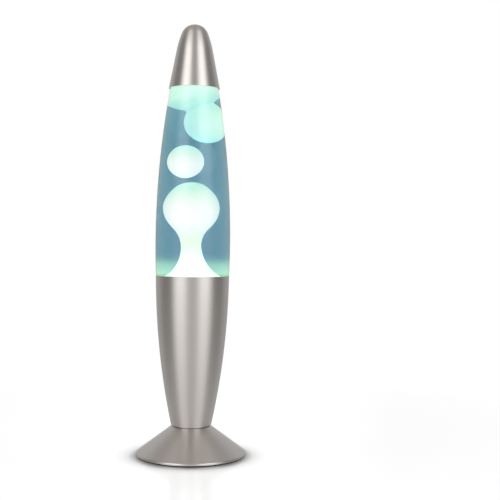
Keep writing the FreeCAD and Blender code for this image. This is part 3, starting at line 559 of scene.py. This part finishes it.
def make_rising_wax(material):
    """The pool on the bottle's floor, with the column and the round head that rise from it."""
    floor = BOTTLE_LOW + GLASS + 0.3
    piece = lathe(
        "wax_rising",
        [
            (0.0, floor + PUNT_DEPTH),
            (PUNT_RADIUS, floor, RIGHT),
            (BASE_RADIUS, floor),
            (BASE_RADIUS + 6.0, BOTTLE_LOW + BASE_CURVE, LEFT, 6.3),
            (SPIGOT_RADIUS - GLASS - 0.4, RIM - 6.0),
            (FLARE_RADIUS, RIM + 1.0, RIGHT, FLARE_CURVE),
            (NECK_RADIUS, NECK_HEIGHT, RIGHT, NECK_LOW_CURVE),
            (HEAD_START_RADIUS, HEAD_START_HEIGHT, RIGHT, NECK_HIGH_CURVE),
            (HEAD_RADIUS, HEAD_HEIGHT, LEFT, HEAD_LOW_CURVE),
            (CROWN_RADIUS, CROWN_HEIGHT, LEFT, HEAD_HIGH_CURVE),
            (0.0, HEAD_TOP, LEFT),
        ],
        material,
    )
    modify(piece, "REMESH", mode="VOXEL", voxel_size=WAX_CELL * MM)
    modify(piece, "SMOOTH", factor=0.5, iterations=12)
    for vertex in piece.data.vertices:
        part = min(max((vertex.co.z / MM - RIM) / (NECK_HEIGHT - RIM), 0.0), 1.0)
        vertex.co.x += LEAN * MM * part
    unsettle(piece, 14.0 * MM, 0.25 * MM)
    keep_inside(piece)
    smooth(piece.data, 80.0)
    return piece


def ball(name, centre, radius, half_height, material):
    """An upright ellipsoid."""
    work = bmesh.new()
    shape = Matrix.Translation(centre) @ Matrix.Diagonal((radius, radius, half_height, 1.0))
    bmesh.ops.create_icosphere(work, subdivisions=5, radius=1.0, matrix=shape)
    return new_piece(name, mesh_from(name, work), material)


def make_drop(material):
    """The free drop, a little smaller and lower than its CAD node."""
    low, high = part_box("wax_blob")
    half = (high - low) / 2
    centre = (low + high) / 2 + Vector(DROP_SHIFT) * MM
    piece = ball("wax_drop", centre, half.x * DROP_SHARE, half.z * DROP_SHARE, material)
    unsettle(piece, 20.0 * MM, 0.3 * MM)
    smooth(piece.data, 80.0)
    return piece


def make_top_wax(material):
    """The wax at the top, and the blob that is joining it, run together and pressed against the glass."""
    balls = []
    for centre, radius, half_height in (TOP_MASS, JOINING_BLOB):
        balls.append(ball("part", Vector(centre) * MM, radius * MM, half_height * MM, material))
    piece = join("wax_top", balls)
    modify(piece, "REMESH", mode="VOXEL", voxel_size=WAX_CELL * MM)
    modify(piece, "SMOOTH", factor=0.5, iterations=30)
    for vertex in piece.data.vertices:
        vertex.co.z = min(vertex.co.z, TOP_WAX_END * MM)
    keep_inside(piece)
    smooth(piece.data, 60.0)
    return piece


# The painted glow of each piece of wax, standing in for the bulb's light from below, by height in millimetres
RISING_GLOW = [
    (141.0, (0.72, 0.78, 0.70)),
    (158.0, (0.90, 0.92, 0.86)),
    (166.0, (1.50, 1.30, 1.25)),
    (184.0, (2.65, 1.85, 1.65)),
    (196.0, (2.30, 1.78, 1.20)),
    (210.0, (2.08, 1.55, 1.35)),
    (229.0, (1.70, 1.38, 1.26)),
    (240.0, (1.42, 1.40, 1.11)),
    (253.0, (1.13, 1.42, 1.05)),
]
FLOATING_GLOW = [
    (256.0, (2.15, 1.60, 1.45)),
    (270.0, (1.95, 1.50, 1.33)),
    (279.0, (1.49, 1.43, 1.15)),
    (288.0, (1.20, 1.42, 1.14)),
]
GATHERED_GLOW = [
    (289.0, (0.93, 1.50, 1.27)),
    (300.0, (0.96, 1.28, 1.14)),
    (317.0, (0.85, 1.22, 1.02)),
    (326.0, (0.79, 1.18, 1.01)),
    (335.0, (0.86, 1.22, 1.03)),
    (345.0, (0.99, 1.20, 1.11)),
]


def make_lamp():
    """The bottle, its filling and the wax, in place of their CAD nodes."""
    glass = clear_glass("clear_glass_look", (0.95, 0.98, 0.97), thick=True)
    rising = glowing_wax("rising_wax_look", *RISING_GLOW)
    floating = glowing_wax("floating_wax_look", *FLOATING_GLOW)
    gathered = glowing_wax("gathered_wax_look", *GATHERED_GLOW)
    pieces = [
        (make_bottle(glass), "bottle", "bottle", "clear_glass"),
        (make_liquid(coloured_liquid()), "bottle", "liquid", "blue_liquid"),
        (make_rising_wax(rising), "bottle", "wax_column", "white_wax"),
        (make_top_wax(gathered), "bottle", "wax_gathered", "white_wax"),
        (make_drop(floating), "wax_blob", "wax_blob", "white_wax"),
    ]
    for piece, body, node, slot in pieces:
        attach(piece, body)
        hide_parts(node)


LOOKS = {
    "spun_aluminium": lambda: turned_metal("spun_aluminium_look", (0.62, 0.59, 0.565), 0.33),
    "zinc_steel": lambda: plain_metal("zinc_steel_look", (0.62, 0.63, 0.64), 0.30),
    "brass": lambda: plain_metal("brass_look", (0.72, 0.50, 0.20), 0.30),
    "nickel_cap": lambda: plain_metal("nickel_look", (0.66, 0.65, 0.62), 0.25),
    "solder": lambda: plain_metal("solder_look", (0.45, 0.45, 0.44), 0.45),
    "hot_wire": lambda: plain_metal("hot_wire_look", (0.5, 0.45, 0.4), 0.4),
    "coil_wire": lambda: plain_metal("coil_wire_look", (0.40, 0.39, 0.38), 0.35),
    "tin_crown": lambda: plain_metal("tin_crown_look", (0.70, 0.70, 0.69), 0.22),
    "black_moulding": lambda: moulded("black_moulding_look", (0.018, 0.018, 0.02), 0.5),
    "grey_rubber": lambda: moulded("grey_rubber_look", (0.05, 0.05, 0.052), 0.8),
    "white_ceramic": lambda: moulded("white_ceramic_look", (0.72, 0.70, 0.66), 0.6),
    "black_glass": lambda: moulded("black_glass_look", (0.01, 0.01, 0.012), 0.12, 200.0, 0.000005),
    "white_liner": lambda: moulded("white_liner_look", (0.78, 0.78, 0.76), 0.5),
    "clear_glass": lambda: clear_glass("stem_glass_look", (0.95, 0.97, 0.96)),
    "bulb_glass": reflector_bulb,
}


def dress_cad_nodes():
    """Gives each CAD node that is still shown the look of its slot."""
    made = {}
    for part in frame["record"]["subparts"]:
        slot = part["material_slot"]
        if slot not in LOOKS:
            continue
        if slot not in made:
            made[slot] = LOOKS[slot]()
        mesh = NODES[part["node"]].data
        mesh.materials.clear()
        mesh.materials.append(made[slot])


# Studio

CAMERA_DISTANCE = 0.882
CAMERA_HEIGHT = 0.204
CAMERA_LENS = 68.0
CAMERA_YAW = -3.466
CAMERA_PITCH = -0.833
CAMERA_ROLL = 0.62
FLOOR_RADIUS = 6.0
# Painted contact shadow on the floor: how far inside the foot's edge it starts, how far out it reaches and how
# far it is moved to the front
SHADOW_INSET = 0.004
SHADOW_REACH = 0.021
SHADOW_SHIFT = 0.005
FLOOR_FADE_START = 0.16
FLOOR_FADE_END = 0.5
STUDIO_RADIUS = 2.0


def make_camera():
    data = bpy.data.cameras.new("camera")
    data.lens = CAMERA_LENS
    data.sensor_width = 36.0
    data.clip_start = 0.01
    camera = bpy.data.objects.new("camera", data)
    bpy.context.scene.collection.objects.link(camera)
    turn = Matrix.Rotation(math.radians(CAMERA_YAW), 4, "Z")
    tilt = Matrix.Rotation(math.radians(90.0 + CAMERA_PITCH), 4, "X")
    roll = Matrix.Rotation(math.radians(CAMERA_ROLL), 4, "Z")
    place = Matrix.Translation((0.0, -CAMERA_DISTANCE, CAMERA_HEIGHT))
    camera.matrix_world = place @ turn @ tilt @ roll
    bpy.context.scene.camera = camera


def make_floor():
    """A white floor with a faint gloss, which away from the lamp is lit until it is as white as the backdrop.
    Round the foot a painted contact shadow darkens its colour and glow, moved a little to the front.
    Metal mirrors the studio alone, not the floor."""
    nodes = Nodes("floor_look")
    parts = nodes.add("SeparateXYZ", {0: nodes.place})
    # Painted contact shadow: the floor's colour and glow grow darker towards the foot's edge, measured from a
    # point a little to the front
    ahead = nodes.add("Math", {0: parts.outputs["Y"], 1: SHADOW_SHIFT}, operation="ADD").outputs[0]
    across = nodes.add("CombineXYZ", {0: parts.outputs["X"], 1: ahead})
    distance = nodes.add("VectorMath", {0: across.outputs[0]}, operation="LENGTH").outputs["Value"]
    foot_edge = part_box("foot")[1].x
    beside = nodes.spread(distance, 0.0, 1.0, foot_edge - SHADOW_INSET, foot_edge + SHADOW_REACH)
    greys = ((0.0, 0.04), (0.22, 0.34), (0.45, 0.76), (0.65, 0.90), (1.0, 1.0))
    shade = nodes.ramp(beside, *[(place, (level,) * 3) for place, level in greys])
    patches = nodes.clouds(3.0, 3.0)
    pale = nodes.ramp(patches, (0.3, (0.92, 0.92, 0.92)), (0.7, (0.94, 0.94, 0.94)))
    nodes.wire(nodes.mix(shade, (0.02, 0.02, 0.02, 1.0), pale), "Base Color")
    nodes.wire(shade, "Emission Color")
    nodes.set(Roughness=0.16, IOR=1.22, Emission_Strength=0.15)
    far = nodes.spread(distance, 0.0, 1.0, FLOOR_FADE_START, FLOOR_FADE_END)
    lit = nodes.add("Emission", {"Strength": 1.0})
    mixed = nodes.add("MixShader", {0: far, 1: nodes.shader.outputs[0], 2: lit.outputs[0]})
    nodes.finish(mixed.outputs[0], "Surface")
    work = bmesh.new()
    bmesh.ops.create_circle(work, cap_ends=True, segments=96, radius=FLOOR_RADIUS)
    floor = new_piece("floor", mesh_from("floor", work), nodes.material)
    floor.visible_glossy = False


def make_reflected_studio():
    """The soft boxes and dark gaps of the studio, as a dome that only shiny surfaces see. Round from the front
    it is grey, bright, dark, grey and then white behind, alike on both sides, and warm grey overhead."""
    nodes = Nodes("studio_look")
    parts = nodes.add("SeparateXYZ", {0: nodes.place})
    side = nodes.add("Math", {0: parts.outputs["X"]}, operation="ABSOLUTE").outputs[0]
    ahead = nodes.add("Math", {0: parts.outputs["Y"], 1: -1.0}, operation="MULTIPLY").outputs[0]
    angle = nodes.add("Math", {0: side, 1: ahead}, operation="ARCTAN2").outputs[0]
    around = nodes.spread(angle, 0.0, 1.0, 0.0, math.pi)
    places = (0.06, 0.16, 0.27, 0.40, 0.56, 0.72, 0.90, 0.95)
    low = (0.70, 1.16, 1.16, 0.27, 0.26, 0.47, 0.47, 0.92)
    high = (0.56, 2.60, 2.60, 0.26, 0.26, 0.60, 0.60, 1.00)
    low_ring = nodes.ramp(around, *[(place, (level,) * 3) for place, level in zip(places, low)])
    high_ring = nodes.ramp(around, *[(place, (level,) * 3) for place, level in zip(places, high)])
    height = parts.outputs["Z"]
    light = nodes.mix(nodes.spread(height, 0.0, 1.0, 0.15, 0.75), low_ring, high_ring)
    light = nodes.mix(nodes.spread(height, 0.0, 1.0, 1.05, 1.80), light, (0.49, 0.465, 0.435, 1.0))
    light = nodes.mix(nodes.spread(height, 0.0, 0.95, -0.35, -1.05), light, (0.72, 0.70, 0.68, 1.0))
    light = nodes.mix(nodes.spread(height, 0.0, 1.0, -1.35, -1.75), light, (0.12, 0.12, 0.12, 1.0))
    glow = nodes.add("Emission", {"Color": light, "Strength": 1.0})
    nodes.finish(glow.outputs[0], "Surface")
    work = bmesh.new()
    bmesh.ops.create_uvsphere(work, u_segments=64, v_segments=32, radius=STUDIO_RADIUS)
    dome = new_piece("studio", mesh_from("studio", work), nodes.material)
    for ray in ("camera", "diffuse", "transmission", "volume_scatter", "shadow"):
        setattr(dome, "visible_" + ray, False)


def make_world():
    world = bpy.data.worlds.new("world")
    world.use_nodes = True
    background = world.node_tree.nodes["Background"]
    background.inputs["Color"].default_value = (1.0, 1.0, 1.0, 1.0)
    background.inputs["Strength"].default_value = 1.0
    bpy.context.scene.world = world
    bpy.context.scene.view_settings.view_transform = "Standard"


make_camera()
make_world()
make_floor()
make_reflected_studio()
make_lamp()
dress_cad_nodes()
